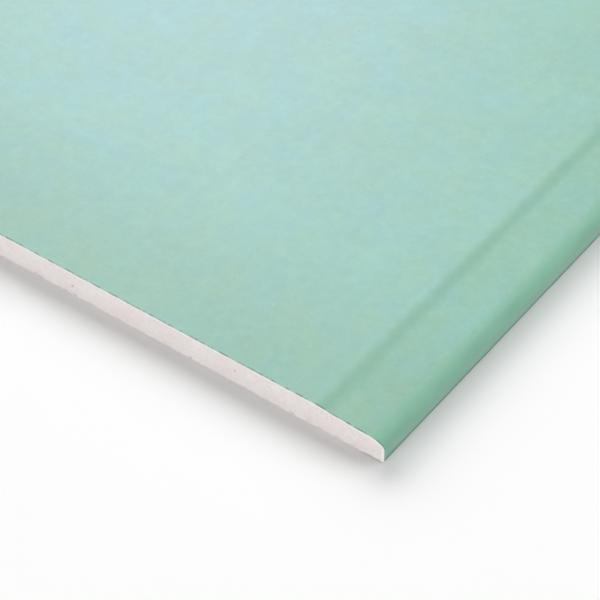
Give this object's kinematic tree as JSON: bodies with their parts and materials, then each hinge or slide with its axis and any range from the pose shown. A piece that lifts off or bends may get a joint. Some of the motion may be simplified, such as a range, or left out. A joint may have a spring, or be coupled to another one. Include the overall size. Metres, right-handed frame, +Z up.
{
  "type": "drywall sheet",
  "caption": "Flat gypsum wallboard with green moisture-resistant face paper wrapped round its recessed long edges and bare core at the cut ends, for lining walls and ceilings.",
  "frame": {"origin": "middle of the underside, where the back paper lies on the floor", "axes": "+Y along the sheet's length from one cut end to the other, +X across it to a recessed long edge, +Z up out of the green face"},
  "size_m": [1.2, 2.4, 0.015],
  "materials": {
    "green_face_paper": "matte",
    "gypsum": "matte",
    "grey_back_paper": "matte"
  },
  "bodies": {
    "root": {"gypsum_core": "gypsum", "face_paper": "green_face_paper", "back_paper": "grey_back_paper"}
  },
  "joints": []
}
